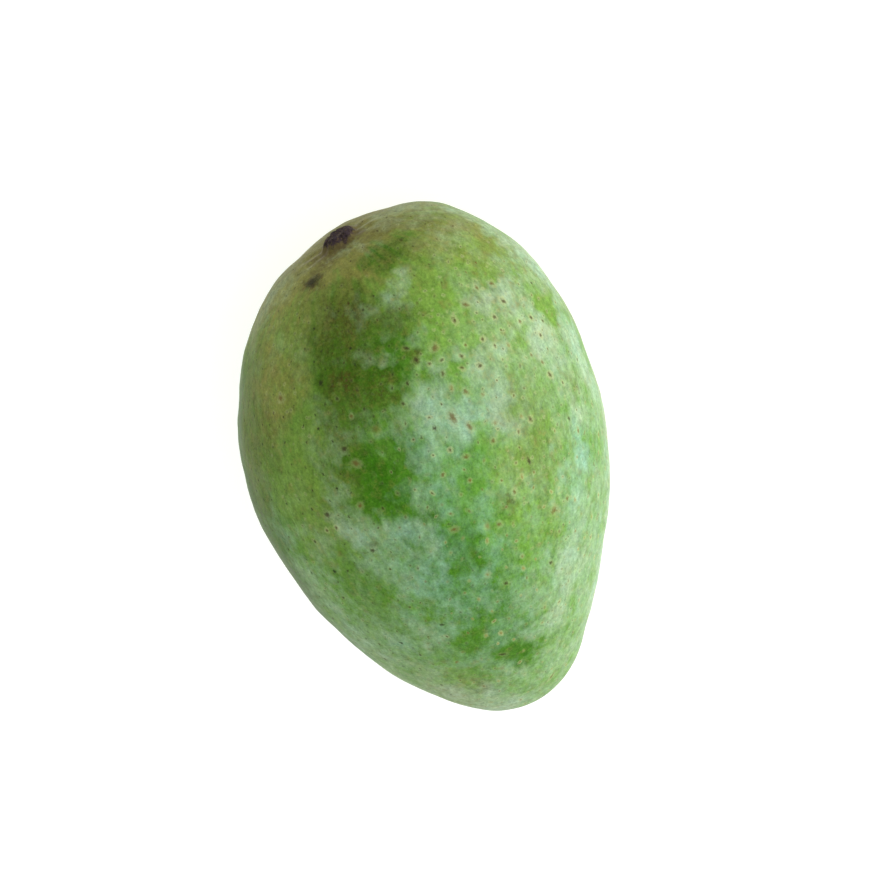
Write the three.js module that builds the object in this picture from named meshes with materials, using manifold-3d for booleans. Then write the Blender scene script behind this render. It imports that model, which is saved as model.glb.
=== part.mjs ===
// A green mango at its real size, lying on one cheek.
//
// Millimetres. +X runs along the fruit from the stem end to the apex, +Y points to the fuller back
// edge and +Z up. The origin is under the middle of the fruit, on the surface that it rests on.
// A mango is one grown piece, so the model is one closed solid: an egg shape given by a formula,
// with its shoulders, beak and stem scar raised from it, and the small flat that it rests on.
import * as THREE from 'three';
import { mergeVertices } from 'three/addons/utils/BufferGeometryUtils.js';
import Module from 'manifold-3d';

// The egg shape. The width is across the back and front edges, and the thickness through the cheeks.
const LENGTH = 119.5;
const WIDTH = 80;
const THICKNESS = 71;
// How much the width and the thickness lose from the middle to the apex, as shares of themselves.
const WIDTH_TAPER = 0.21;
const THICKNESS_TAPER = 0.16;
// How much both ends draw in against an ellipse, as shares of the width and the thickness.
const WIDTH_DRAW = 0.04;
const THICKNESS_DRAW = 0.06;
// How far both ends bend towards the back edge.
const BEND = 6.5;

// Places where the outline stands out from the egg, or lies inside it. The angle goes round the
// outline from the apex over the back edge (90) to the stem end (180), with the front edge at -90.
// The reach is in radii of the egg, and the height in millimetres.
const SWELLS = [
  { name: 'back shoulder, at the stem', angle: 150, reach: 0.3, height: -0.9 },
  { name: 'back shoulder, below', angle: 110, reach: 0.3, height: -0.5 },
  { name: 'back edge', angle: 75, reach: 0.35, height: 0.3 },
  { name: 'back flank', angle: 30, reach: 0.25, height: 0.6 },
  { name: 'beak', angle: -14, reach: 0.25, height: 1.7 },
  { name: 'front flank', angle: -40, reach: 0.3, height: 0.4 },
  { name: 'front edge', angle: -80, reach: 0.35, height: -0.2 },
  { name: 'front edge, towards the stem', angle: -120, reach: 0.35, height: -1.7 },
  { name: 'front shoulder', angle: -159, reach: 0.3, height: 0.4 },
];
// How much further a swell reaches over the cheeks than along the outline.
const SWELL_WRAP = 2;

// The stem scar lies off the end of the fruit's axis: towards the front edge and the upper cheek,
// as shares of the egg's radius.
const SCAR_TO_FRONT = 0.23;
const SCAR_TO_CHEEK = 0.12;
// The shallow basin round the scar, and the corky disc with its dimple in the middle.
const BASIN_DEPTH = 1.1;
const BASIN_RADIUS = 8;
const SCAR_RADIUS = 3.2;
const SCAR_HEIGHT = 0.9;
const DIMPLE_RADIUS = 1.5;
const DIMPLE_DEPTH = 0.7;
// The egg's radius near the stem, which turns a place on the unit ball into millimetres.
const STEM_END_RADIUS = 42;

// How the fruit settles on its cheek, in degrees: the stem end is the thicker one and lifts the
// axis, and the bent outline rolls the fruit a little to its back edge.
const REST_PITCH = 4.8;
const REST_ROLL = -4.1;
// The flat spot that its weight presses into the cheek.
const FLAT_DEPTH = 0.5;

// The grid runs round the stem scar and along to the far end, with rows crowded at the scar.
const STEPS_AROUND = 80;
const ROWS_ALONG = 50;
const ROW_CROWDING = 1.4;

const SKIN_COLOUR = 0x7fae5c;
const SKIN_ROUGHNESS = 0.5;

const stemPlace = new THREE.Vector3(
  -Math.sqrt(1 - SCAR_TO_FRONT ** 2 - SCAR_TO_CHEEK ** 2),
  -SCAR_TO_FRONT,
  SCAR_TO_CHEEK,
);

/** A bump that is 1 at its centre and fades out like a bell curve past its reach. */
function bell(distance, reach) {
  return Math.exp(-((distance / reach) ** 2));
}

/** The place on the unit ball where a swell is centred. */
function swellPlace(angle) {
  const turn = THREE.MathUtils.degToRad(angle);
  return new THREE.Vector3(Math.cos(turn), Math.sin(turn), 0);
}

/** How far the fruit stands out at a place on the unit ball, apart from the stem's own relief. */
function swellHeight(place) {
  return SWELLS.reduce((sum, swell) => {
    const away = place.clone().sub(swellPlace(swell.angle));
    away.z /= SWELL_WRAP;
    return sum + swell.height * bell(away.length(), swell.reach);
  }, 0);
}

/** The relief at the stem: a basin, a disc that rises from it with a soft rim, and its dimple. */
function stemRelief(place) {
  const distance = place.distanceTo(stemPlace) * STEM_END_RADIUS;
  const basin = BASIN_DEPTH * bell(distance, BASIN_RADIUS);
  const disc = SCAR_HEIGHT * Math.exp(-((distance / SCAR_RADIUS) ** 6));
  const dimple = DIMPLE_DEPTH * bell(distance, DIMPLE_RADIUS);
  return disc - dimple - basin;
}

/** The fruit's surface at a place on the unit ball, before the fruit is laid down. */
function skinPoint(place) {
  const { x, y, z } = place;
  const widthShare = 1 - WIDTH_TAPER * x - WIDTH_DRAW * x * x;
  const thicknessShare = 1 - THICKNESS_TAPER * x - THICKNESS_DRAW * x * x;
  const egg = new THREE.Vector3(
    (LENGTH / 2) * x,
    (WIDTH / 2) * widthShare * y + BEND * x ** 4,
    (THICKNESS / 2) * thicknessShare * z,
  );
  return egg.addScaledVector(place, swellHeight(place) + stemRelief(place));
}

/** The whole skin as one closed mesh, its poles at the stem scar and opposite it. */
function fruitGeometry() {
  const ball = new THREE.SphereGeometry(1, STEPS_AROUND, ROWS_ALONG);
  ball.deleteAttribute('normal');
  ball.deleteAttribute('uv');
  const skin = mergeVertices(ball);
  const toStem = new THREE.Quaternion().setFromUnitVectors(new THREE.Vector3(0, 1, 0), stemPlace);
  const corners = skin.getAttribute('position');
  const place = new THREE.Vector3();
  for (let i = 0; i < corners.count; i += 1) {
    place.fromBufferAttribute(corners, i);
    const fromPole = Math.acos(THREE.MathUtils.clamp(place.y, -1, 1));
    const crowded = Math.PI * (fromPole / Math.PI) ** ROW_CROWDING;
    const around = Math.atan2(place.z, place.x);
    place.set(
      Math.sin(crowded) * Math.cos(around),
      Math.cos(crowded),
      Math.sin(crowded) * Math.sin(around),
    );
    place.applyQuaternion(toStem);
    const point = skinPoint(place.normalize());
    corners.setXYZ(i, point.x, point.y, point.z);
  }
  return skin;
}

/** Turns the fruit into the pose that it rests in. */
function layDown(geometry) {
  geometry.rotateX(THREE.MathUtils.degToRad(REST_ROLL));
  geometry.rotateY(THREE.MathUtils.degToRad(REST_PITCH));
  return geometry;
}

/** Moves the geometry so that its box is centred over the origin and starts at a height of zero. */
function standOnOrigin(geometry) {
  geometry.computeBoundingBox();
  const middle = geometry.boundingBox.getCenter(new THREE.Vector3());
  return geometry.translate(-middle.x, -middle.y, -geometry.boundingBox.min.z);
}

const wasm = await Module();
wasm.setup();

/** A closed geometry as a solid that can be joined and cut. */
function toSolid(geometry) {
  geometry.deleteAttribute('normal');
  geometry.deleteAttribute('uv');
  const merged = mergeVertices(geometry);
  return new wasm.Manifold(new wasm.Mesh({
    numProp: 3,
    vertProperties: new Float32Array(merged.getAttribute('position').array),
    triVerts: new Uint32Array(merged.getIndex().array),
  }));
}

/** A solid back as a geometry. */
function toGeometry(solid) {
  const mesh = solid.getMesh();
  const geometry = new THREE.BufferGeometry();
  geometry.setAttribute('position', new THREE.BufferAttribute(mesh.vertProperties, 3));
  geometry.setIndex(new THREE.BufferAttribute(mesh.triVerts, 1));
  geometry.computeVertexNormals();
  return geometry;
}

/** Takes the lowest sliver off a fruit that stands on the origin, which leaves its flat spot. */
function withFlatSpot(geometry) {
  const below = new THREE.BoxGeometry(2 * LENGTH, 2 * LENGTH, LENGTH);
  below.translate(0, 0, FLAT_DEPTH - LENGTH / 2);
  return toGeometry(toSolid(geometry).subtract(toSolid(below)));
}

const skinMaterial = new THREE.MeshStandardMaterial({
  color: SKIN_COLOUR,
  roughness: SKIN_ROUGHNESS,
  metalness: 0,
});

const laidDown = standOnOrigin(layDown(fruitGeometry()));
const mango = new THREE.Mesh(standOnOrigin(withFlatSpot(laidDown)), skinMaterial);
mango.name = 'mango';

const group = new THREE.Group();
group.add(mango);

export default group;
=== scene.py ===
"""A green mango lying on its cheek, dressed with its skin: the pale bloom, rubbed off in patches,
the pores with their corky cores, the olive shoulders and the dark stem scar.

Lengths in the classes are millimetres, and turn into metres where a mesh is made. The fruit's
own directions are those of the CAD part: +X from the stem end to the apex, which is "along",
+Y towards the fuller back edge, which is "across", and +Z up.
"""

import logging
import math
from dataclasses import dataclass, field
from enum import Enum
from typing import Any, Sequence

import bpy
import numpy as np
from mathutils import Matrix, Vector


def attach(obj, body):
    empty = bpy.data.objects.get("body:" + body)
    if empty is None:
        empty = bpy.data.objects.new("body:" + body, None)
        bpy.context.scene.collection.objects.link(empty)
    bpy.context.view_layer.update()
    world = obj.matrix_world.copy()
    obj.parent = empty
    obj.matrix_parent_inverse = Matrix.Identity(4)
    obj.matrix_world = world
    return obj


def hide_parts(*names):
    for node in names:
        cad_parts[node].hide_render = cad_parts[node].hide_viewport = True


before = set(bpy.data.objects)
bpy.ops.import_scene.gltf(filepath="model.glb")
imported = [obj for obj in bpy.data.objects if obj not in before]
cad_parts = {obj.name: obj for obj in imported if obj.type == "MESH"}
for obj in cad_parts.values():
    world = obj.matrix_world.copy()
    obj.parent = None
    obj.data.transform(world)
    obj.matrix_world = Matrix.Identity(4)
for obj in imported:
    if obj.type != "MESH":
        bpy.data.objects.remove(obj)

MM = 0.001
NODE = "mango"
BODY = "root"

log = logging.getLogger("mango")


# ---------------------------------------------------------------- numbers and colours


def smoothstep(low: float, high: float, value: np.ndarray) -> np.ndarray:
    """Rises from 0 at low to 1 at high along a cubic with level ends: t * t * (3 - 2 t)."""
    t = np.clip((value - low) / (high - low), 0.0, 1.0)
    return t * t * (3.0 - 2.0 * t)


def bell(distance: np.ndarray, reach: float) -> np.ndarray:
    """Falls from 1 along a bell curve: e to the minus (distance / reach) squared."""
    return np.exp(-((distance / reach) ** 2))


def unit(vectors: np.ndarray) -> np.ndarray:
    """The vectors in the last axis, each divided by its length."""
    return vectors / np.linalg.norm(vectors, axis=-1, keepdims=True)


def linear(code: str) -> tuple[float, float, float, float]:
    """A colour code as linear light.

    Args:
        code: two hexadecimal digits each for red, green and blue, such as "6a8f3c".

    Returns:
        Red, green, blue and alpha, from 0 to 1.
    """
    shares = [int(code[i : i + 2], 16) / 255.0 for i in (0, 2, 4)]
    red, green, blue = [s / 12.92 if s <= 0.04045 else ((s + 0.055) / 1.055) ** 2.4 for s in shares]
    return red, green, blue, 1.0


@dataclass(frozen=True)
class SmoothNoise:
    """Seeded noise that varies smoothly in space, with a spread of about 1 round 0.

    Args:
        seed: picks the pattern.
        wavelength: the size of its largest blotches, in millimetres.
        octaves: how many layers it has, each with half the wavelength of the one before.
        keep: each layer's share of the height of the one before.
    """

    seed: int
    wavelength: float
    octaves: int = 1
    keep: float = 0.6

    WAVES = 28
    STRETCH = (0.7, 1.3)

    def at(self, points: np.ndarray) -> np.ndarray:
        """The noise at given points.

        Each layer is a sum of plane waves, cos(k . p + phase), divided by the square root of half
        their number. Their directions are spread evenly over the sphere by chance, and their
        lengths round the layer's own.

        Args:
            points: places (n, 3) in millimetres.

        Returns:
            One value for each point.
        """
        rng = np.random.default_rng(self.seed)
        total = np.zeros(len(points))
        height, power = 1.0, 0.0
        for octave in range(self.octaves):
            number = 2.0 * math.pi * 2.0**octave / self.wavelength
            directions = unit(rng.normal(size=(self.WAVES, 3)))
            stretch = rng.uniform(*self.STRETCH, size=(self.WAVES, 1))
            phases = rng.uniform(0.0, 2.0 * math.pi, size=self.WAVES)
            waves = np.cos(points @ (directions * stretch * number).T + phases)
            total += height * waves.sum(axis=1) / math.sqrt(self.WAVES / 2.0)
            power += height**2
            height *= self.keep
        return total / math.sqrt(power)


# ---------------------------------------------------------------- the fruit's form


@dataclass(frozen=True)
class Swell:
    """A place where the outline stands out from the egg, or lies inside it.

    Args:
        angle: where it is, in degrees from the apex over the back edge (90) to the stem end.
        reach: how far it spreads, in radii of the egg.
        height: how far it stands out, in millimetres.
    """

    angle: float
    reach: float
    height: float

    WRAP = 2.0

    def lift(self, place: np.ndarray) -> np.ndarray:
        """Its height times a bell curve that is wider over the cheeks.

        Args:
            place: places (n, 3) on the unit ball.

        Returns:
            How far it lifts the skin at each place, in millimetres.
        """
        turn = math.radians(self.angle)
        away = place - np.array([math.cos(turn), math.sin(turn), 0.0])
        away = away / np.array([1.0, 1.0, self.WRAP])
        return self.height * bell(np.linalg.norm(away, axis=-1), self.reach)


@dataclass(frozen=True)
class StemScar:
    """The corky scar where the stalk was, in its shallow basin at the stem end."""

    to_front: float = 0.23
    to_cheek: float = 0.09
    stem_end_radius: float = 42.0
    basin_depth: float = 0.8
    basin_radius: float = 7.5
    radius: float = 3.0
    height: float = 1.9
    edge_power: int = 6
    dimple_radius: float = 1.2
    dimple_depth: float = 0.5
    raggedness: float = 0.1
    rim_radius: float = 2.0
    rim_width: float = 0.5
    rim_height: float = 0.2
    crack_share: float = 0.6
    crack_reach: float = 0.8
    crack_depth: float = 0.15
    crack_count: int = 9
    fold_radius: float = 6.0
    fold_reach: float = 2.5
    fold_height: float = 0.1
    fold_count: int = 8

    @property
    def place(self) -> np.ndarray:
        """Its centre on the unit ball."""
        back = math.sqrt(1.0 - self.to_front**2 - self.to_cheek**2)
        return np.array([-back, -self.to_front, self.to_cheek])

    def polar(self, place: np.ndarray) -> tuple[np.ndarray, np.ndarray]:
        """Where places lie as seen from the scar.

        Args:
            place: places (n, 3) on the unit ball.

        Returns:
            Their distances from its centre in millimetres, and their directions round it in
            radians.
        """
        centre = self.place
        side = unit(np.cross([0.0, 0.0, 1.0], centre))
        up = np.cross(centre, side)
        distance = np.linalg.norm(place - centre, axis=-1) * self.stem_end_radius
        return distance, np.arctan2(place @ up, place @ side)

    def rim(self, around: np.ndarray) -> np.ndarray:
        """The scar's edge: a circle with three waves of unlike length.

        Args:
            around: directions round the scar in radians.

        Returns:
            Its radius in each direction, in millimetres.
        """
        waves = np.sin(2 * around + 0.4)
        waves = waves + 0.6 * np.sin(5 * around + 2.1) + 0.45 * np.sin(9 * around)
        return self.radius * (1.0 + self.raggedness * waves)

    def lift(self, place: np.ndarray) -> np.ndarray:
        """Its relief.

        A disc with a steep edge, a raised rim just inside that edge and folds in the skin that run
        out from the disc, less shallow cracks that run out from the middle, a central dimple and
        the basin's bell.

        Args:
            place: places (n, 3) on the unit ball.

        Returns:
            How far it lifts the skin at each place, in millimetres.
        """
        distance, around = self.polar(place)
        across = distance / self.rim(around)
        disc = self.height * np.exp(-(across**self.edge_power))
        rim = self.rim_height * bell(distance - self.rim_radius, self.rim_width)
        cracks = np.maximum(0.0, np.cos(self.crack_count * around + 2.0 * np.sin(3 * around))) ** 6
        from_cracks = distance - self.crack_share * self.radius
        cracks = self.crack_depth * cracks * bell(from_cracks, self.crack_reach)
        dimple = self.dimple_depth * bell(distance, self.dimple_radius)
        folds = np.cos(self.fold_count * around + 1.5 * np.sin(2 * around))
        folds = folds * bell(distance - self.fold_radius, self.fold_reach)
        basin = self.basin_depth * bell(distance, self.basin_radius)
        return disc + rim - cracks - dimple + self.fold_height * folds - basin


@dataclass(frozen=True)
class Form:
    """The fruit's shape: an egg given by a formula, with swells, a stem scar and a flat spot."""

    length: float = 119.5
    width: float = 80.0
    thickness: float = 71.0
    width_taper: float = 0.21
    thickness_taper: float = 0.16
    width_draw: float = 0.04
    thickness_draw: float = 0.06
    bend: float = 6.5
    swells: tuple[Swell, ...] = (
        Swell(150, 0.30, -0.9),
        Swell(110, 0.30, -0.5),
        Swell(75, 0.35, 0.3),
        Swell(30, 0.25, 0.6),
        Swell(-14, 0.25, 1.7),
        Swell(-40, 0.30, 0.4),
        Swell(-80, 0.35, -0.2),
        Swell(-120, 0.35, -1.7),
        Swell(-159, 0.30, 0.4),
    )
    scar: StemScar = StemScar()
    rest_pitch: float = 4.8
    rest_roll: float = -4.1
    flat_depth: float = 0.5
    unevenness: SmoothNoise = SmoothNoise(seed=3, wavelength=17.0, octaves=3, keep=0.45)
    unevenness_height: float = 0.11

    def surface(self, place: np.ndarray) -> np.ndarray:
        """The skin before the fruit is laid down.

        An ellipsoid whose width and thickness are multiplied by 1 - taper x - draw x squared, bent
        by bend times x to the fourth, and moved out along the place by the relief.

        Args:
            place: places (n, 3) on the unit ball.

        Returns:
            The skin's points at these places, in millimetres.
        """
        x, y, z = place.T
        width_share = 1.0 - self.width_taper * x - self.width_draw * x * x
        thickness_share = 1.0 - self.thickness_taper * x - self.thickness_draw * x * x
        egg = np.stack(
            [
                self.length / 2 * x,
                self.width / 2 * width_share * y + self.bend * x**4,
                self.thickness / 2 * thickness_share * z,
            ],
            axis=-1,
        )
        lift = sum(swell.lift(place) for swell in self.swells) + self.scar.lift(place)
        lift = lift + self.unevenness_height * self.unevenness.at(egg)
        return egg + place * lift[:, None]

    def rest_turn(self) -> np.ndarray:
        """The turn that lays the fruit down: a roll about its axis, then a pitch of the axis.

        Returns:
            A matrix of 3 by 3.
        """
        roll = Matrix.Rotation(math.radians(self.rest_roll), 3, "X")
        pitch = Matrix.Rotation(math.radians(self.rest_pitch), 3, "Y")
        return np.array(pitch @ roll)


@dataclass(frozen=True)
class Grid:
    """A grid over the unit ball, round the stem scar, with its rows crowded near the scar."""

    steps_around: int = 344
    rows_along: int = 280
    crowding: float = 1.2

    def places(self, pole: np.ndarray) -> np.ndarray:
        """Its corners.

        The angle from the pole is pi times t to the power of the crowding, with t even from 0 to 1.

        Args:
            pole: the direction that its rows run round.

        Returns:
            The pole, each row in turn, and the far pole, all on the unit ball.
        """
        t = np.arange(1, self.rows_along) / self.rows_along
        from_pole = math.pi * t**self.crowding
        around = np.arange(self.steps_around) * (2.0 * math.pi / self.steps_around)
        down, turn = np.meshgrid(from_pole, around, indexing="ij")
        side = unit(np.cross([0.0, 0.0, 1.0], pole))
        up = np.cross(pole, side)
        ring = np.cos(turn)[..., None] * side + np.sin(turn)[..., None] * up
        rows = np.cos(down)[..., None] * pole + np.sin(down)[..., None] * ring
        return np.concatenate([pole[None], rows.reshape(-1, 3), -pole[None]])

    def faces(self) -> list[tuple[int, ...]]:
        """Its faces, outwards: a fan at each pole and quads between the rows.

        Returns:
            Each face's corners, by number.
        """
        count, rows = self.steps_around, self.rows_along - 1
        here = np.arange(count)
        after = (here + 1) % count
        start = 1 + count * np.arange(rows - 1)[:, None]
        quads = np.stack([start + here, start + count + here, start + count + after, start + after])
        quads = quads.reshape(4, -1).T
        last = 1 + count * (rows - 1)
        first_fan = np.stack([np.zeros_like(here), 1 + here, 1 + after], axis=-1)
        far_pole = np.full_like(here, last + count)
        last_fan = np.stack([last + after, last + here, far_pole], axis=-1)
        return quads.tolist() + first_fan.tolist() + last_fan.tolist()


@dataclass
class Skin:
    """The laid-down skin as points, with what the patches and pores need to know of it."""

    form: Form
    grid: Grid
    place: np.ndarray = field(init=False)
    points: np.ndarray = field(init=False)
    normals: np.ndarray = field(init=False)

    # The least that a point on a cheek faces up or down, and the most that a direction laid in
    # the skin may point out of it.
    ON_CHEEK = 0.02
    STEEP = 0.95

    def __post_init__(self) -> None:
        """Works out the points and the outward directions."""
        self.place = self.grid.places(self.form.scar.place)
        turn = self.form.rest_turn()
        points = self.form.surface(self.place) @ turn.T
        low, high = points.min(axis=0), points.max(axis=0)
        points -= [(low[0] + high[0]) / 2, (low[1] + high[1]) / 2, low[2] + self.form.flat_depth]
        points[:, 2] = np.maximum(points[:, 2], 0.0)
        self.points = points
        radii = np.array([self.form.length, self.form.width, self.form.thickness]) / 2
        self.normals = unit((self.place / radii) @ turn.T)

    def spot(self, along: float, across: float, under: bool = False) -> int:
        """The index of the skin's point that is straight above, or under, a place.

        Args:
            along: millimetres from the middle towards the apex.
            across: millimetres from the middle towards the back edge.
            under: whether the lower cheek is meant.

        Returns:
            The index of the nearest point on that cheek.
        """
        away = np.hypot(self.points[:, 0] - along, self.points[:, 1] - across)
        facing = -self.normals[:, 2] if under else self.normals[:, 2]
        return int(np.argmin(np.where(facing < self.ON_CHEEK, np.inf, away)))

    def axes(self, index: int, turn: float) -> np.ndarray:
        """Two directions in the skin at a point, and the outward one.

        Args:
            index: the point.
            turn: the angle in degrees from along the fruit to the first direction.

        Returns:
            The three directions as rows.
        """
        out = self.normals[index]
        angle = math.radians(turn)
        first = np.array([math.cos(angle), math.sin(angle), 0.0])
        if abs(first @ out) > self.STEEP:
            first = np.array([0.0, 0.0, 1.0])
        first = unit(first - (first @ out) * out)
        return np.stack([first, np.cross(out, first), out])


# ---------------------------------------------------------------- films on the skin


class Film(Enum):
    """What can lie on the skin or tint it, each a value from 0 to 1 at every point."""

    # Thick bloom along the back edge is partly a painted reflection, and a streak beside the scar a
    # painted highlight.
    BLOOM = "the pale wax, 0 where it is rubbed off"
    # Along the lower front edge, its darkness and the rubbed-off bloom are painted shade.
    DEPTH = "how dark and deep the green under it is"
    GOLD = "how yellow the green under it is"
    OLIVE = "how olive it is"
    RUSSET = "the brown, corky smudges"
    COOL = "how blue the bloom is"


@dataclass(frozen=True)
class Patch:
    """A patch where a film has a level of its own, with a ragged, faded edge.

    Args:
        film: which film.
        along: its centre's place along the fruit.
        across: its centre's place across the fruit.
        length: its length along its own direction.
        width: its width.
        turn: degrees from along the fruit to its own direction.
        level: the film's value in its middle.
        fade: the share of its radius over which it fades out.
        under: whether it is on the lower cheek.
    """

    film: Film
    along: float
    across: float
    length: float
    width: float
    turn: float
    level: float
    fade: float
    under: bool = False

    # How deep it reaches, as a share of its length and width together.
    DEPTH = 0.6

    def cover(self, skin: Skin, wandered: np.ndarray) -> np.ndarray:
        """How much the patch covers each point: 1 inside its ellipsoid, fading to 0 outside.

        Args:
            skin: the skin it is on.
            wandered: the skin's points moved about by noise, which makes the edge ragged.

        Returns:
            One share for each point.
        """
        index = skin.spot(self.along, self.across, self.under)
        axes = skin.axes(index, self.turn)
        depth = self.DEPTH * (self.length + self.width)
        radii = np.array([self.length, self.width, depth]) / 2
        away = np.linalg.norm((wandered - skin.points[index]) @ axes.T / radii, axis=1)
        return 1.0 - smoothstep(1.0 - self.fade, 1.0 + self.fade, away)


class Kind(Enum):
    """The kinds of patch: the film that it changes, its usual level there and its usual fade."""

    RUBBED = (Film.BLOOM, 0.0, 0.6)
    WAXY = (Film.BLOOM, 0.9, 0.7)
    DEEP = (Film.DEPTH, 0.9, 0.6)
    GOLDEN = (Film.GOLD, 0.8, 0.8)
    OLIVE = (Film.OLIVE, 0.8, 0.6)
    RUSSET = (Film.RUSSET, 0.7, 0.7)
    COOL = (Film.COOL, 0.8, 0.7)


def patches(kind: Kind, *rows: tuple[float, ...]) -> list[Patch]:
    """Patches of one kind.

    Args:
        kind: their kind.
        rows: for each patch its place along and across, its length and its width, and then its
            turn, level, fade and whether it is on the lower cheek, up to the last of these
            that isn't the usual one.

    Returns:
        The patches, in the order of the rows.
    """
    film, level, fade = kind.value
    usual = (0.0, level, fade, False)
    return [Patch(film, *row, *usual[len(row) - 4 :]) for row in rows]


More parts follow.
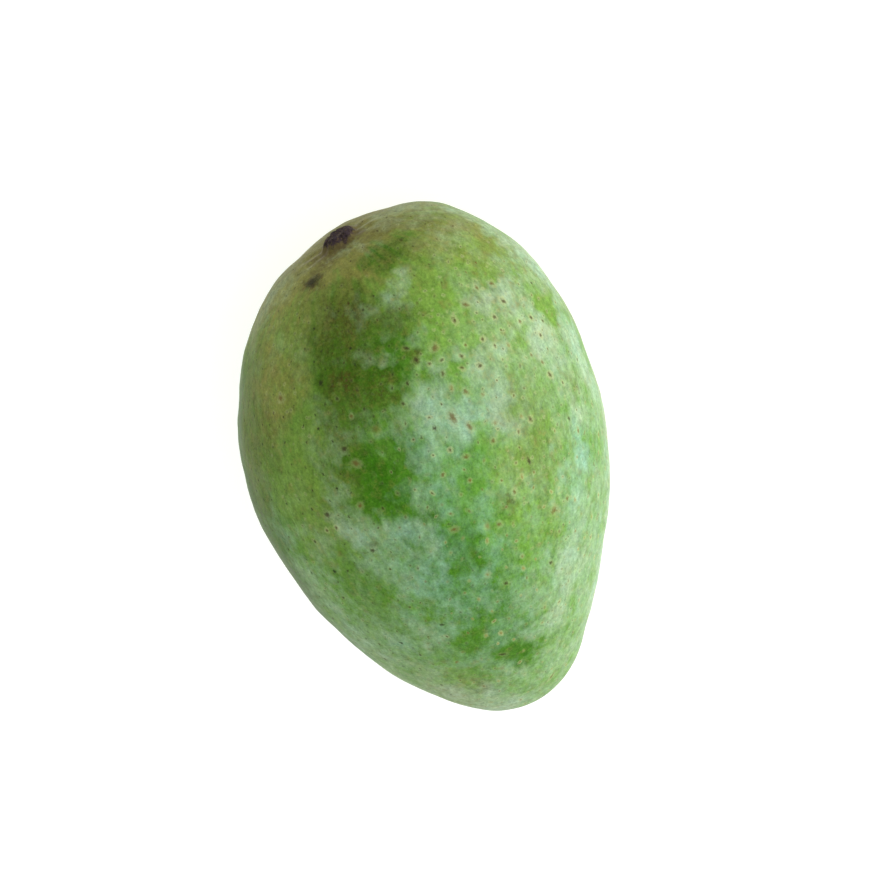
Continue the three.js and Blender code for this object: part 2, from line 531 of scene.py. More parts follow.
@dataclass(frozen=True)
class Films:
    """The films over the whole skin: an even ground, chance patches, and the known ones."""

    ground: tuple[tuple[Film, float], ...] = (
        (Film.BLOOM, 0.38),
        (Film.DEPTH, 0.2),
        (Film.GOLD, 0.4),
        (Film.OLIVE, 0.0),
        (Film.RUSSET, 0.0),
        (Film.COOL, 0.35),
    )
    upper: tuple[Patch, ...] = (
        # The green is yellower towards the back edge and at the front flank.
        *patches(Kind.GOLDEN,
            (-10, 23, 48, 18, -6), (-42, 24, 30, 24, 30, 0.9), (-34, 33, 16, 10, 10, 0.9),
            (-43, 8, 22, 18, 0, 0.85), (-14, -27, 44, 22, 10, 0.65), (43, -6, 14, 16),
            (8, 2, 40, 20, 0, 0.0), (-10, 8, 14, 9, 0, 0.0), (-5, 17, 18, 9, 0, 0.9)),
        # Darker at the front shoulder and in the middle, and painted shade low on the front flank.
        *patches(Kind.DEEP,
            (-43, -8, 20, 16, 10, 0.95, 0.5), (-36, -12, 18, 14, 20, 0.95, 0.5),
            (-39, -1, 14, 11, 0, 0.85), (-31, -7, 8, 20, 0, 1.0, 0.5),
            (-26, -11, 12, 18, 0, 0.7, 0.5), (-13, -17, 20, 16, 0, 0.6, 0.5),
            (-12, -12, 17, 12, 5, 1.0, 0.4), (4, 8, 36, 18, -8, 0.0), (8, -2, 28, 14, 10, 0.75),
            (-6.5, -8, 11, 7), (-2, -6, 4, 4), (-17, -4, 11, 8, 0, 0.8), (-21, 17, 36, 18, 0, 0.0),
            (-44, 19, 18, 22, 0, 0.05), (27, 2, 34, 20, 0, 0.7), (8, 2, 12, 7, -12, 0.75),
            (38, 7, 12, 11), (13, -20, 30, 10, 14, 0.4), (-16, -30, 30, 18, 10, 0.2),
            # From (-18, -38) on: painted shade along the lower front edge.
            (-54, 3, 9, 11, 10, 0.9, 0.5), (-18, -38, 56, 22, -3, 0.95, 0.5),
            (-6, -40, 28, 26, 0, 0.9, 0.3), (10, -38, 24, 30, 10, 1.0, 0.3),
            (28, -32, 24, 24, 27, 1.0, 0.3)),
        # The stem end and the shoulders are olive.
        *patches(Kind.OLIVE,
            (-22, -27, 50, 26, 12, 0.22, 0.4), (-24, -35, 36, 12, -8, 0.4, 0.5),
            (-31, -27, 11, 8, 0, 0.7), (-44, -22, 22, 14, -10, 0.25, 0.5), (-33, -28, 18, 10),
            (-60, -4, 44, 22, 90, 1.0, 0.5), (-56, 16, 30, 16, 60, 0.9),
            (-43, 32, 30, 12, 42, 0.55, 0.7), (52, -14, 16, 36, 20, 0.3, 0.5),
            (-57, 12, 10, 24, 10, 0.4, 0.5), (-53, -2.5, 7, 8, 0, 0.9),
            (-50.5, 20, 9, 9, 0, 0.3, 0.5), (-34, -24, 9, 10, 0, 0.7),
            (-12, 41, 60, 8, 0, 0.35, 0.5), (-54, 3.5, 9, 11, 0, -0.3, 0.5),
            (-52, -6, 30, 60, 0, 0.9, 0.5, True), (-59.5, -6, 22, 28, 0, 0.9, 0.5, True)),
        # The bloom is bluer in the middle and warmer at the edges.
        *patches(Kind.COOL,
            (8, 0, 44, 30, 0, 1.0), (30, -4, 26, 26), (-17, 8, 18, 16, 0, 0.7),
            (-2, 32, 12, 8, 0, 1.0), (-38, 24, 20, 24, 0, 0.15), (-36, -3, 16, 12, 0, 0.0),
            (-10, 34, 8, 6, 0, 0.2), (-25, 32, 26, 12, 0, 0.15), (46, -14, 30, 22, 40, 0.05),
            (28, -12, 10, 8, 0, 0.4), (0, -5, 16, 6, 0, 0.45), (4, 28, 18, 9, 0, 0.7),
            (-55, 16, 22, 24, 0, 0.0), (-10, 42, 70, 10, 0, 0.0), (30, 34, 50, 10, -28, 0.1)),
        # The bloom: little at the stem end and on the front flank, thick along the back edge,
        # in the middle and at the apex, and rubbed off again in places. Along the back edge it is
        # partly painted reflection; rubbed off along the lower front edge, it is painted shade.
        *patches(Kind.RUBBED,
            (-48, -6, 40, 64, 0, -0.05, 0.4, True), (-37, -10, 50, 78, 5, 0.02, 0.3),
            (-14, -28, 38, 24, 12, 0.0, 0.4), (-55, 8, 16, 56, 0, -0.05, 0.4),
            (-59.5, -6, 24, 30, 0, -0.1, 0.5, True)),
        *patches(Kind.WAXY,
            (-29, 18, 34, 22, 10, 0.25, 0.5), (-46, -7, 4, 4, 0, 0.2), (-44, -3, 5, 5, 0, 0.3),
            (-47, 4, 8, 7, 0, 0.45), (-42, 17.5, 10, 8), (-39, 25, 11, 10, 20, 1.0),
            (-42, 33, 24, 9, 35, 0.95), (-52, 26, 14, 10, 60, 0.6), (-56, 15, 14, 14, 70, 0.2),
            (-59, 8, 8, 16, 0, 0.2), (-26, 31, 13, 9, 20), (-22, 37, 16, 8, 15),
            (-12, 38, 18, 5, 5), (-31, 19, 10, 6, 0, 0.7), (-24, 18, 12, 8, 0, 0.8),
            (-35.5, -2, 6, 4, 0, 0.4), (-36, -7, 4, 4, 0, 0.3), (-29, -17, 6, 4, 0, 0.25),
            (-37, 5, 5, 4, 0, 0.5), (-21, -15, 10, 15, 0, 0.25), (-27, -3, 7, 5, 0, 0.45),
            (-28.5, 11, 8, 7, 0, 0.85), (-32, 7.5, 8, 5), (-25, 3, 12, 9, 0, 0.6),
            (-22, -4, 11, 7, 20, 0.3), (-17, 8, 15, 11, 20, 0.95), (-18, 17, 10, 7, 0, 0.8),
            (-11, -1, 22, 6, 5, 0.4), (-18, 2.5, 5, 5, 0, 0.7), (-1, -3, 14, 6, 0, 0.3),
            (6, 29, 20, 9, -5, 0.6), (-2, 32, 7, 4, 0, 1.0), (-9, 33, 6, 4, 0, 0.8),
            (17, 9, 14, 10, 0, 0.5), (20, 28, 24, 12, -20, 0.6), (24, 22, 14, 7, -20, 0.85),
            (31, 17, 13, 5, -20, 0.8), (32, 10.5, 5, 4, 0, 0.6), (2, -13, 17, 9, 15, 0.62),
            (-2, -20, 10, 5, 25, 0.62), (5, -5, 12, 9, 0, 0.55), (12, -11, 16, 9, 15, 0.45),
            (28, -11, 9, 6, 10, 0.7), (18, 2, 20, 14, 0, 0.32), (28, -26, 20, 8, 20, 0.6),
            (12, -34, 28, 5, 14, 0.4), (4, -26, 18, 9, 15, 0.32), (51, -19, 26, 16, 40, 1.0),
            (45, -11, 9, 9, 0, 0.8), (56, -4, 12, 22, 0, 0.95), (51, -3, 8, 12, 0, 0.8),
            # These two are partly bloom and partly a painted reflection along the grazing back
            # edge.
            (8, 38, 40, 10, -5, 0.95), (32, 29, 34, 10, -28, 1.0)),
        *patches(Kind.RUBBED,
            # The first four rub the bloom off the lower front edge: painted shade.
            (-20, -40, 54, 26, -5, -0.1, 0.4), (-6, -40, 28, 22, 0, 0.0, 0.4),
            (10, -39, 24, 24, 10, 0.0, 0.4), (28, -33, 24, 20, 27, 0.0, 0.4), (-54, 4, 8, 10),
            (-47, 19, 14, 14, 30, 0.08)),
        # The first is a pale streak beside the scar: a painted highlight on a fold of the skin.
        *patches(Kind.WAXY, (-56, -3, 3, 8, 0, 0.25), (-41, 33, 14, 7, 35, 0.95)),
        *patches(Kind.RUBBED,
            (-43, 10, 12, 11, 0, -0.1), (-32, 33, 10, 7, 10, -0.1), (-36, 11, 8, 15, 10, 0.03),
            (-34, 20.5, 6, 5, 0, 0.35), (-12, 12, 8, 6, 0, 0.15), (-31, -8, 8, 19, 0, -0.2),
            (-28, 11, 6, 6, 0, 0.05), (-22, 25, 20, 9, -5, 0.3), (-13, -13.5, 19, 13, 0, 0.12),
            (-12.5, -12, 15, 12, 5, -0.35, 0.4)),
        *patches(Kind.WAXY, (-3, -2, 7, 5, 0, 0.4)),
        *patches(Kind.RUBBED,
            (-7.5, -8, 9, 6, 0, 0.1), (-2, -6, 3.5, 3.5, 0, 0.2), (-16.5, -3.5, 7, 5, 0, 0.25)),
        *patches(Kind.WAXY,
            (17, 15, 16, 9, -10, 0.35), (-11, -20.5, 8, 4, 10, 0.35), (11, -3.5, 6, 4, 0, 0.8),
            (18, 9, 6, 5, 0, 0.6), (4, -3, 5, 3.5, 0, 0.5), (-18, -17.5, 8, 5, 0, 0.18)),
        *patches(Kind.RUBBED,
            (-14, -28, 20, 11, 10), (3, 14, 33, 22, -6, 0.16, 0.18), (-4, 5.5, 20, 7, -8, 0.12),
            (8, 2, 12, 7, -12, 0.08), (3, 1.5, 11, 2.5, -10, 0.1)),
        *patches(Kind.WAXY, (8, 8.5, 24, 4, -5, 0.36)),
        *patches(Kind.RUBBED, (-8, 24, 14, 8, 0, 0.08), (11, 21, 18, 5, -8, 0.12)),
        *patches(Kind.WAXY, (5, 25, 8, 4, -8, 0.45), (1, 20, 9, 7, 0, 0.42)),
        *patches(Kind.RUBBED,
            (11, -22, 24, 8, 14, 0.06), (34, -11, 7, 10, 0, 0.12), (29, 5, 8, 8, 0, 0.2),
            (-3, -5, 2.4, 2.0), (31, -2, 10, 9, 0, 0.05), (38.5, 6.5, 10.5, 10, 0, -0.05),
            (41.5, -5, 9, 11, 10, 0.08), (36, 19, 12, 4, -35, 0.3)),
        # Brown smudges.
        *patches(Kind.RUSSET,
            (-38, -11, 26, 14, 15, 0.35), (-45, -9, 8, 8, 0, 0.6), (-42.5, 1.5, 8, 9, 0, 0.35),
            (-44, -7, 11, 8, 0, 0.5), (-34, 2.5, 4, 3, 0, 0.5), (-31, -12.5, 6, 6, 0, 0.9),
            (-30, -5, 6, 8, 0, 0.45), (-59.5, -8, 8, 11, 0, 0.6, 0.6, True),
            (-60, 4, 12, 24, 0, 0.3, 0.6, True), (-54, 4, 6, 12, 0, 0.3),
            (-52, -12.5, 7, 6, -50, 0.75), (-50, -6, 7, 6, 0, 0.25), (-56, -16, 36, 12, 80, 0.35),
            (-58, 2, 36, 8, 90, 0.3), (-20, -41, 54, 26, -5, 0.25), (-30, -33, 22, 8, -15, 0.2),
            (-55.5, -8.5, 5, 8, 0, 0.6), (-25, -15, 14, 10, 0, 0.3), (-43, 22, 10, 14, 30, 0.15),
            (-17, 22, 14, 10, 0, 0.15), (3, -39, 60, 18, 8, 0.4), (-24, -31, 14, 4, 10, 0.35),
            (-13, -18, 6, 4, 0, 0.2), (-9, 22, 20, 10, 0, 0.2), (-4, 20, 5, 2, 0, 0.35),
            (2, 13, 3, 3, 0, 0.5), (-16, 33, 8, 3, 0, 0.2), (3, -17, 3, 2.5, 0, 0.5),
            (46, -3, 4, 5, 0, 0.3)),
    )
    lower_count: int = 80
    lower_seed: int = 11
    lower_kinds: tuple[Kind, ...] = (
        Kind.RUBBED, Kind.WAXY, Kind.WAXY, Kind.RUBBED, Kind.DEEP, Kind.GOLDEN,
    )
    # The least and the most of a chance patch's place along and across, length, width and turn.
    lower_spans: tuple[tuple[float, float], ...] = (
        (-56.0, 56.0), (-38.0, 38.0), (10.0, 26.0), (6.0, 12.0), (-40.0, 40.0),
    )
    # How far broad and small blotches of noise move the patches' edges, and how large they are.
    wander: float = 0.8
    wander_size: float = 9.0
    flutter: float = 0.5
    flutter_size: float = 2.6

    def wandered(self, points: np.ndarray) -> np.ndarray:
        """Moves points about by noise of broad blotches, and a little less by noise of small ones.

        Args:
            points: the skin's points.

        Returns:
            The moved points.
        """
        broad = [SmoothNoise(40 + i, self.wander_size, 2).at(points) for i in range(3)]
        small = [SmoothNoise(50 + i, self.flutter_size).at(points) for i in range(3)]
        return points + self.wander * np.stack(broad, -1) + self.flutter * np.stack(small, -1)

    def chance_patches(self) -> list[Patch]:
        """Patches for the lower cheek, of the kinds and sizes that the upper one has.

        Returns:
            The patches, in the order that they are painted in.
        """
        rng = np.random.default_rng(self.lower_seed)
        found = []
        for i in range(self.lower_count):
            film, level, fade = self.lower_kinds[i % len(self.lower_kinds)].value
            along, across, length, width, turn = (rng.uniform(*span) for span in self.lower_spans)
            found.append(Patch(film, along, across, length, width, turn, level, fade, under=True))
        return found

    def levels(self, skin: Skin) -> dict[Film, np.ndarray]:
        """Works out the films: the ground, then each patch painted over it.

        Args:
            skin: the skin they are on.

        Returns:
            Each film's value at each point.
        """
        wandered = self.wandered(skin.points)
        values = {film: np.full(len(skin.points), level) for film, level in self.ground}
        for patch in [*self.chance_patches(), *self.upper]:
            cover = patch.cover(skin, wandered)
            values[patch.film] += (patch.level - values[patch.film]) * cover
        return values


# ---------------------------------------------------------------- pores and other marks


class Look(Enum):
    """The looks that a pore or a mark can have: its core's tone, its halo and its strength."""

    BROWN = (0.5, 0.8, 0.85)
    RUST = (0.66, 0.5, 0.75)
    STRAW = (0.9, 0.6, 0.6)
    DARK = (0.25, 0.2, 0.85)
    INK = (0.0, 0.0, 0.9)
    FAINT = (0.7, 0.4, 0.4)


@dataclass(frozen=True)
class Mark:
    """A pore or a mark in the skin.

    Args:
        look: its tone, halo and strength.
        along: its place along the fruit.
        across: its place across the fruit.
        length: its core's length.
        width: its core's width.
        turn: degrees from along the fruit to its length.
    """

    look: Look
    along: float
    across: float
    length: float
    width: float
    turn: float = 0.0


def marks(look: Look, *rows: tuple[float, ...]) -> list[Mark]:
    """Marks of one look, each from its place along and across, length, width and any turn."""
    return [Mark(look, *row) for row in rows]


@dataclass(frozen=True)
class Pores:
    """The pores all over the skin: the ones that stand out, by place, and the rest by chance."""

    known: tuple[Mark, ...] = (
        *marks(Look.INK,
            (-52, -12.8, 5.0, 3.0, -50), (-44, -15, 0.9, 0.7), (-39, -9, 0.7, 0.7),
            (-38, -17, 0.7, 0.6), (-34, -17, 1.4, 1.3), (-25, -20, 0.8, 0.8), (-12, -20, 0.9, 0.7),
            (7.5, -26, 0.9, 0.9), (25.5, -7.5, 1.2, 0.8, 70), (28.5, -17, 1.2, 0.7, 60)),
        *marks(Look.DARK,
            (-33.5, 3.5, 1.9, 1.5, 30), (-36, 2.5, 1.6, 0.8, 70), (-38, 31.5, 0.9, 0.8),
            (-29.5, 0.5, 0.9, 0.8), (-26, -1.5, 1.0, 0.8, 40), (-30, -14.5, 0.8, 0.7),
            (-20, -16, 1.6, 1.4), (-6.5, -23.5, 1.6, 1.4), (-19, 3, 1.2, 0.9, 60),
            (-9.5, 31, 1.5, 0.8, 10), (-5, 20, 2.2, 0.9, 15), (3.5, -17, 1.3, 1.2),
            (0, -28, 1.1, 0.9), (14.5, -26, 0.9, 0.8), (20, 8, 1.2, 0.9, 60),
            (20, 18.5, 1.1, 0.9, 60), (38, 3, 2.0, 0.8, 60)),
        *marks(Look.BROWN,
            (-38, 24.5, 1.7, 1.1, 30), (-38.5, 13.5, 1.7, 1.0, 10), (-36, 21.5, 1.2, 0.8, 20),
            (-32.5, 29, 1.3, 0.9, 20), (-33, 18, 1.1, 0.9), (-31, 13, 1.2, 0.8, 20),
            (-29, 12, 1.1, 0.9, 50), (-28, 16, 1.3, 1.0, 50), (-30.5, 20, 0.9, 0.7),
            (-28, 30, 1.2, 0.8, 10), (-32, 5.5, 1.0, 0.8, 40), (-3, -23, 1.0, 0.8),
            (-14, 5, 0.9, 0.8), (-13.5, 23, 1.7, 1.0, 30), (-20, 29.5, 1.6, 1.0, 40),
            (-2.5, -25, 1.0, 0.8)),
        *marks(Look.RUST,
            (-42, 23, 1.3, 1.0, 40), (-42.5, 20, 1.3, 0.8), (-38.5, 11, 1.0, 0.8),
            (-40, 16.5, 1.7, 1.2, 60), (-32.5, 26.5, 1.1, 0.9, 40), (-33, 14, 0.9, 0.7),
            (-34.5, 8, 1.8, 1.5), (-32, -26, 1.8, 1.4, 60), (-26, -13, 0.9, 0.7),
            (-16.5, -14.5, 1.8, 1.2, 60), (-7, -16.5, 1.2, 1.0), (-20, 7.5, 3.2, 1.5, 15),
            (-17, 10, 1.9, 1.1, 20), (-24.5, 11, 1.6, 1.0, 30), (-11, 7.5, 1.3, 1.0, 70),
            (-12.5, 14, 1.1, 0.9), (7, 26, 1.2, 1.0), (8, 22.5, 2.0, 1.6, 60), (0, 15.5, 1.2, 1.0),
            (5.5, 10, 1.6, 1.2, 80), (3.5, 1, 1.6, 1.1, 80), (51, 12, 2.0, 0.9, -20)),
        *marks(Look.STRAW,
            (-29.5, 23, 1.6, 0.7, 10), (-37, 10.5, 1.0, 0.9), (-26, 8.5, 1.6, 0.9),
            (-22, 14.5, 1.0, 0.9), (-16, 15.5, 1.2, 1.1), (-15, 21.5, 1.0, 0.9), (5, 8, 1.4, 1.2),
            (16, 5, 1.1, 0.9)),
        *marks(Look.FAINT,
            (-22.5, -9, 1.7, 1.5), (42, 2, 1.8, 1.2)),
    )
    # The chance pores. Pairs are the least and the most, with a core's usual width between them.
    seed: int = 7
    count: int = 1500
    spacing: float = 3.0
    spacing_spread: tuple[float, float] = (0.8, 1.25)
    core_width: tuple[float, float, float] = (0.3, 0.42, 0.8)
    core_stretch: tuple[float, float] = (1.0, 1.8)
    turn_spread: float = 25.0
    tone_spread: float = 0.13
    strength: tuple[float, float] = (0.25, 0.85)
    # How much nearer than the next one a mark has to be to show at all, and to show in full.
    border: tuple[float, float] = (0.9, 1.7)

    # How many places are tried for each pore, and in how many parts the skin is searched.
    TRIES = 6
    PARTS = 24

    def chance(self, skin: Skin) -> tuple[np.ndarray, np.ndarray, np.ndarray, np.ndarray]:
        """The rest of the pores, thrown one by one where none is near yet.

        Args:
            skin: the skin they are in.

        Returns:
            Their points' indices, their cores' radii along the fruit, across it and outwards,
            their turns, and their tones, halos and strengths as rows.
        """
        rng = np.random.default_rng(self.seed)
        area = np.linalg.norm(np.cross(*self.steps(skin)), axis=1)
        picks = rng.choice(len(skin.points), size=self.TRIES * self.count, p=area / area.sum())
        taken = np.array([skin.points[skin.spot(m.along, m.across)] for m in self.known])
        chosen: list[int] = []
        for pick in picks:
            gap = np.linalg.norm(taken - skin.points[pick], axis=1).min()
            if gap < self.spacing * rng.uniform(*self.spacing_spread):
                continue
            chosen.append(int(pick))
            taken = np.vstack([taken, skin.points[pick]])
            if len(chosen) == self.count:
                break
        index = np.array(chosen)
        radius = rng.triangular(*self.core_width, size=len(index)) / 2
        long = radius * rng.uniform(*self.core_stretch, size=len(index))
        turns = rng.normal(0.0, self.turn_spread, size=len(index))
        kinds = self.kinds(skin.points[index], rng)
        return index, np.stack([long, radius, radius], axis=-1), turns, kinds

    def steps(self, skin: Skin) -> tuple[np.ndarray, np.ndarray]:
        """The steps over the grid from each of the skin's points.

        Args:
            skin: the skin, with a pole, rows and the far pole as its points.

        Returns:
            The step to the next point round the grid, which is 0 at the poles and in the last row,
            and the step to the next row.
        """
        count = skin.grid.steps_around
        around = np.roll(skin.points, -1, axis=0) - skin.points
        along = np.roll(skin.points, -count, axis=0) - skin.points
        inside = np.zeros(len(skin.points))
        inside[1 : -count - 1] = 1.0
        return around * inside[:, None], along

    def kinds(self, points: np.ndarray, rng: np.random.Generator) -> np.ndarray:
        """The looks of the chance pores: dark and plain at the front and the stem end, brown with
        pale rings in the middle, and straw-coloured towards the back of the apex.

        Args:
            points: their places.
            rng: where chance comes from.

        Returns:
            Their tones, halos and strengths as rows.
        """
        along, across = points[:, 0], points[:, 1]
        to_middle = smoothstep(-36.0, -12.0, along)
        to_back = smoothstep(-22.0, 2.0, across - 14.0 * (1.0 - to_middle))
        off_stem = smoothstep(-50.0, -38.0, along)
        to_apex = smoothstep(-14.0, 10.0, along) * smoothstep(-20.0, 0.0, across)
        tone = 0.12 + 0.40 * to_back + 0.38 * to_apex
        tone = tone + rng.normal(0.0, self.tone_spread, len(points))
        halo = 0.95 * to_back * off_stem * rng.uniform(0.3, 1.0, size=len(points))
        strength = rng.uniform(*self.strength, size=len(points))
        return np.clip(np.stack([tone, halo, strength], axis=-1), 0.0, 1.0)

    def fields(self, skin: Skin) -> tuple[np.ndarray, np.ndarray]:
        """What the shader draws the pores from.

        Args:
            skin: the skin they are in.

        Returns:
            For each point, the way to the nearest mark's centre in radii of that mark, which
            is linear inside its cell and so stays exact between the points, and then the
            mark's tone, its halo, and its strength, which fades to 0 at the cell's border.
        """
        index, chance_radii, turns, kinds = self.chance(skin)
        known = [skin.spot(m.along, m.across) for m in self.known]
        centres = skin.points[np.concatenate([known, index]).astype(int)]
        frames = [skin.axes(i, m.turn) for i, m in zip(known, self.known)]
        frames += [skin.axes(int(i), turn) for i, turn in zip(index, turns)]
        known_radii = [(m.length / 2, m.width / 2, m.width / 2) for m in self.known]
        radii = np.concatenate([np.array(known_radii), chance_radii])
        scaled = np.array(frames) / radii[:, :, None]
        looks = np.concatenate([np.array([m.look.value for m in self.known]), kinds])
        reach = radii.max(axis=1)
        nearest = np.zeros(len(skin.points), int)
        margin = np.zeros(len(skin.points))
        for part in np.array_split(np.arange(len(skin.points)), self.PARTS):
            gap = np.linalg.norm(skin.points[part, None] - centres[None], axis=2) - reach
            order = np.argpartition(gap, 1, axis=1)[:, :2]
            two = np.take_along_axis(gap, order, axis=1)
            first = two.argmin(axis=1)
            nearest[part] = order[np.arange(len(part)), first]
            margin[part] = np.abs(two[:, 1] - two[:, 0])
        way = np.einsum("nij,nj->ni", scaled[nearest], skin.points - centres[nearest])
        kind = looks[nearest]
        kind[:, 2] *= smoothstep(*self.border, margin)
        return way, kind


# ---------------------------------------------------------------- shader nodes


class Grain(Enum):
    """The skin's noises: the size of the blotches in millimetres, the detail, the roughness, and
    whether they are drawn out along the fruit.
    """

    CLOUD = (5.5, 2.0, 0.5, False)
    MOTTLE = (1.6, 4.0, 0.6, True)
    DUST = (0.5, 3.0, 0.7, False)
    BLUE = (5.0, 3.0, 0.6, False)
    YELLOW = (2.6, 4.0, 0.6, True)
    DEEP = (1.7, 5.0, 0.7, True)
    SMUDGE = (0.9, 4.0, 0.7, False)
    BLOTCH = (2.2, 4.0, 0.65, False)
    FINE = (0.55, 3.0, 0.75, False)
    STREAK = (1.3, 3.0, 0.6, True)
    SPECK = (0.6, 4.0, 0.8, False)
    STEM_END = (1.8, 4.0, 0.65, False)
    PRICK = (0.5, 2.0, 0.7, False)
    FRAY = (0.45, 3.0, 0.7, False)
    SCAR_EDGE = (1.4, 4.0, 0.65, False)
    STAIN_AND_SHADE_EDGE = (2.4, 4.0, 0.7, False)
    SAP = (0.9, 4.0, 0.65, False)
    CRACK = (1.3, 4.0, 0.7, False)
    RELIEF = (0.35, 3.0, 0.6, False)


@dataclass(frozen=True)
class Wire:
    """An output socket in a node tree, with the arithmetic that adds Math nodes to it."""

    nodes: "Nodes"
    socket: Any

    def _math(self, operation: str, *values: Any, clamp: bool = False) -> "Wire":
        """A Math node of that operation on these values."""
        settings = {"operation": operation, "use_clamp": clamp}
        return self.nodes.add("ShaderNodeMath", settings, dict(enumerate(values)))

    def __add__(self, other: Any) -> "Wire":
        """self + other."""
        return self._math("ADD", self, other)

    def __radd__(self, other: Any) -> "Wire":
        """other + self."""
        return self._math("ADD", other, self)

    def __sub__(self, other: Any) -> "Wire":
        """self - other."""
        return self._math("SUBTRACT", self, other)

    def __rsub__(self, other: Any) -> "Wire":
        """other - self."""
        return self._math("SUBTRACT", other, self)

    def __mul__(self, other: Any) -> "Wire":
        """self * other."""
        return self._math("MULTIPLY", self, other)

    def __rmul__(self, other: Any) -> "Wire":
        """other * self."""
        return self._math("MULTIPLY", other, self)

    def clamped(self) -> "Wire":
        """self held between 0 and 1."""
        return self._math("ADD", self, 0.0, clamp=True)

    def above(self, low: float, high: float) -> "Wire":
        """A smooth step.

        Args:
            low: where it is 0. It may be the larger of the two.
            high: where it is 1.

        Returns:
            The step's height.
        """
        settings = {"interpolation_type": "SMOOTHSTEP", "clamp": True}
        inputs = {"Value": self, "From Min": low, "From Max": high}
        return self.nodes.add("ShaderNodeMapRange", settings, inputs)


@dataclass
class Nodes:
    """A material's node tree, with one method that adds any node.

    Args:
        tree: the node tree.
        draw: what the place is multiplied by for a pattern that is drawn out along the fruit.
    """

    tree: Any
    draw: tuple[float, float, float] = (0.6, 1.0, 1.0)
    place: Wire = field(init=False)
    drawn: Wire = field(init=False)

    def __post_init__(self) -> None:
        """Adds the place on the object that patterns follow, and the same drawn out."""
        self.place = self.add("ShaderNodeTexCoord", output="Object")
        inputs = {0: self.place, 1: self.draw}
        self.drawn = self.add("ShaderNodeVectorMath", {"operation": "MULTIPLY"}, inputs)

    def add(self, kind: str, settings: dict[str, Any] | None = None,
            inputs: dict[Any, Any] | None = None, output: Any = 0) -> Any:
        """Adds a node.

        Args:
            kind: its type by its full name, such as ShaderNodeMath.
            settings: its properties, which are set first.
            inputs: values or wires by socket name or number.
            output: the name or number of the output to hand back, or None for no output.

        Returns:
            That output as a Wire, or None.
        """
        node = self.tree.nodes.new(kind)
        for name, value in (settings or {}).items():
            setattr(node, name, value)
        for key, value in (inputs or {}).items():
            if isinstance(value, Wire):
                self.tree.links.new(value.socket, node.inputs[key])
            else:
                node.inputs[key].default_value = value
        return None if output is None else Wire(self, node.outputs[output])

    def values(self, name: str) -> tuple[Wire, ...]:
        """The three values of a vector attribute of the mesh."""
        return self.split(self.vector(name))

    def vector(self, name: str) -> Wire:
        """A vector attribute of the mesh."""
        settings = {"attribute_name": name, "attribute_type": "GEOMETRY"}
        return self.add("ShaderNodeAttribute", settings, output="Vector")

    def split(self, wire: Wire) -> tuple[Wire, ...]:
        """A vector's three values."""
        node = self.add("ShaderNodeSeparateXYZ", inputs={0: wire}).socket.node
        return tuple(Wire(self, output) for output in node.outputs)

    def blend(self, share: Wire, under: Wire | str, over: Wire | str) -> Wire:
        """Lays one colour on another. Each is a wire or a code.

        Args:
            share: how much of the lower colour is covered.
            under: the lower colour.
            over: the upper colour.

        Returns:
            The blended colour.
        """
        under, over = (linear(c) if isinstance(c, str) else c for c in (under, over))
        settings = {"data_type": "RGBA", "blend_type": "MIX", "clamp_factor": True}
        return self.add("ShaderNodeMix", settings, {0: share, 6: under, 7: over}, 2)

    def scaled(self, wire: Wire, factor: Wire) -> Wire:
        """A colour made brighter by a factor."""
        return self.add("ShaderNodeVectorMath", {"operation": "SCALE"}, {0: wire, "Scale": factor})

    def noise(self, grain: Grain) -> Wire:
        """Adds a noise.

        Args:
            grain: which noise.

        Returns:
            Its value, round 0.5.
        """
        size, detail, rough, drawn = grain.value
        inputs = {"Scale": 1.0 / (size * MM), "Detail": detail, "Roughness": rough}
        inputs["Vector"] = self.drawn if drawn else self.place
        return self.add("ShaderNodeTexNoise", {"noise_dimensions": "3D"}, inputs, "Fac")

    def sway(self, grain: Grain) -> Wire:
        """Noise round 0."""
        return self.noise(grain) - 0.5


